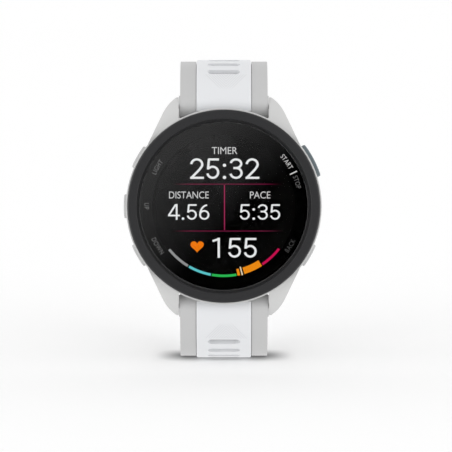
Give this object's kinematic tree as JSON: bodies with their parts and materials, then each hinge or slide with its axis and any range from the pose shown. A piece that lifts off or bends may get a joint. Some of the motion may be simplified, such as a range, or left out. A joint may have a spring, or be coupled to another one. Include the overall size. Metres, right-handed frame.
{
  "type": "gps running watch",
  "caption": "Round digital running watch with a dark bezel ring, side buttons, optical sensor back and a curved two-piece silicone strap with steel buckle.",
  "frame": {"origin": "centre of the sensor window's flat outer face, which lies on the wrist", "axes": "+Z to 12 o'clock, +X to 3 o'clock, +Y into the wrist, so the display faces -Y"},
  "size_m": [0.0442, 0.0822, 0.0675],
  "materials": {
    "bezel": "satin dark fibre-reinforced polymer ring",
    "lens": "polished hardened glass over a black display",
    "seal": "matt black gasket",
    "adhesive": "clear optical adhesive",
    "display": "black emissive display panel",
    "frame_plastic": "black moulded carrier",
    "flex": "amber flexible circuit",
    "case": "fine-grained light grey fibre-reinforced polymer",
    "cover": "grey moulded rear cover",
    "steel": "stainless steel, finely brushed",
    "sensor_glass": "smoked optical window",
    "board": "green circuit board",
    "led": "small green emitters",
    "diode": "dark photodiodes",
    "contacts": "gold plated contacts",
    "membrane": "fine vent membrane",
    "shield": "tinned shield cans",
    "chip": "black moulded chips",
    "antenna": "copper antenna band",
    "battery_foil": "foil pouch cell",
    "button_grey": "light grey moulded button",
    "button_blue": "blue-grey moulded button",
    "strap_grey": "matt light grey silicone",
    "strap_white": "matt white silicone"
  },
  "bodies": {
    "head": {"bezel_ring": "bezel", "lens_glass": "lens", "lens_gasket": "seal", "display_adhesive": "adhesive", "display_panel": "display", "display_frame": "frame_plastic", "display_flex": "flex", "main_case": "case", "rear_cover": "cover", "rear_gasket": "seal", "rear_screws": "steel", "sensor_window": "sensor_glass", "sensor_board": "board", "sensor_leds": "led", "sensor_photodiodes": "diode", "charge_socket": "frame_plastic", "charge_contacts": "contacts", "port_membrane": "membrane", "main_board": "board", "shield_cans": "shield", "board_chips": "chip", "gps_antenna": "antenna", "bluetooth_antenna": "chip", "battery": "battery_foil", "vibration_motor": "steel", "buzzer": "contacts", "button_seals": "seal", "button_springs": "steel", "tactile_switches": "chip"},
    "start_stop_button": {"start_stop_button": "button_blue", "start_stop_clip": "steel"},
    "back_button": {"back_button": "button_grey", "back_clip": "steel"},
    "light_button": {"light_button": "button_grey", "light_clip": "steel"},
    "up_button": {"up_button": "button_grey", "up_clip": "steel"},
    "down_button": {"down_button": "button_grey", "down_clip": "steel"},
    "upper_strap": {"strap_upper": "strap_grey", "strap_upper_panel": "strap_white", "fixed_keeper": "strap_grey", "buckle_pin": "steel", "upper_bar_tube": "steel", "upper_bar_fixed_tip": "steel", "upper_bar_spring": "steel", "upper_bar_spring_stop": "steel"},
    "upper_release": {"upper_release_lever": "steel"},
    "lower_strap": {"strap_lower": "strap_grey", "strap_lower_panel": "strap_white", "lower_bar_tube": "steel", "lower_bar_fixed_tip": "steel", "lower_bar_spring": "steel", "lower_bar_spring_stop": "steel"},
    "lower_release": {"lower_release_lever": "steel"},
    "buckle": {"buckle_frame": "steel"},
    "tongue": {"buckle_tongue": "steel"},
    "loop": {"sliding_keeper": "strap_grey"}
  },
  "joints": [
    {"name": "start_stop_press", "type": "slide", "parent": "head", "child": "start_stop_button", "axis": [-0.887, 0, -0.4617], "range_m": [0, 0.00045], "stiffness_N_per_m": 2000, "springref_m": -0.0004, "deforming": ["button_springs"]},
    {"name": "back_press", "type": "slide", "parent": "head", "child": "back_button", "axis": [-0.866, 0, 0.5], "range_m": [0, 0.00045], "stiffness_N_per_m": 2000, "springref_m": -0.0004},
    {"name": "light_press", "type": "slide", "parent": "head", "child": "light_button", "axis": [0.866, 0, -0.5], "range_m": [0, 0.00045], "stiffness_N_per_m": 2000, "springref_m": -0.0004},
    {"name": "up_press", "type": "slide", "parent": "head", "child": "up_button", "axis": [1, 0, 0], "range_m": [0, 0.00045], "stiffness_N_per_m": 2000, "springref_m": -0.0004},
    {"name": "down_press", "type": "slide", "parent": "head", "child": "down_button", "axis": [0.866, 0, 0.5], "range_m": [0, 0.00045], "stiffness_N_per_m": 2000, "springref_m": -0.0004},
    {"name": "upper_strap_hinge", "type": "hinge", "parent": "head", "child": "upper_strap", "pos_m": [0, -0.0042, 0.0223], "axis": [1, 0, 0], "range_deg": [-10, 45]},
    {"name": "lower_strap_hinge", "type": "hinge", "parent": "head", "child": "lower_strap", "pos_m": [0, -0.0042, -0.0223], "axis": [-1, 0, 0], "range_deg": [0, 50]},
    {"name": "upper_release_slide", "type": "slide", "parent": "upper_strap", "child": "upper_release", "axis": [-1, 0, 0], "range_m": [0, 0.0013], "stiffness_N_per_m": 400, "springref_m": -0.0015, "deforming": ["upper_bar_spring"]},
    {"name": "lower_release_slide", "type": "slide", "parent": "lower_strap", "child": "lower_release", "axis": [-1, 0, 0], "range_m": [0, 0.0013], "stiffness_N_per_m": 400, "springref_m": -0.0015, "deforming": ["lower_bar_spring"]},
    {"name": "buckle_hinge", "type": "hinge", "parent": "upper_strap", "child": "buckle", "pos_m": [0, 0.0399, -0.00279], "axis": [-1, 0, 0], "range_deg": [-40, 30]},
    {"name": "tongue_hinge", "type": "hinge", "parent": "buckle", "child": "tongue", "pos_m": [0, 0.0399, -0.00279], "axis": [1, 0, 0], "range_deg": [0, 70]},
    {"name": "keeper_slide", "type": "hinge", "parent": "upper_strap", "child": "loop", "pos_m": [0, 0.00975, 0.00186], "axis": [-1, 0, 0], "range_deg": [-17, 10]}
  ]
}
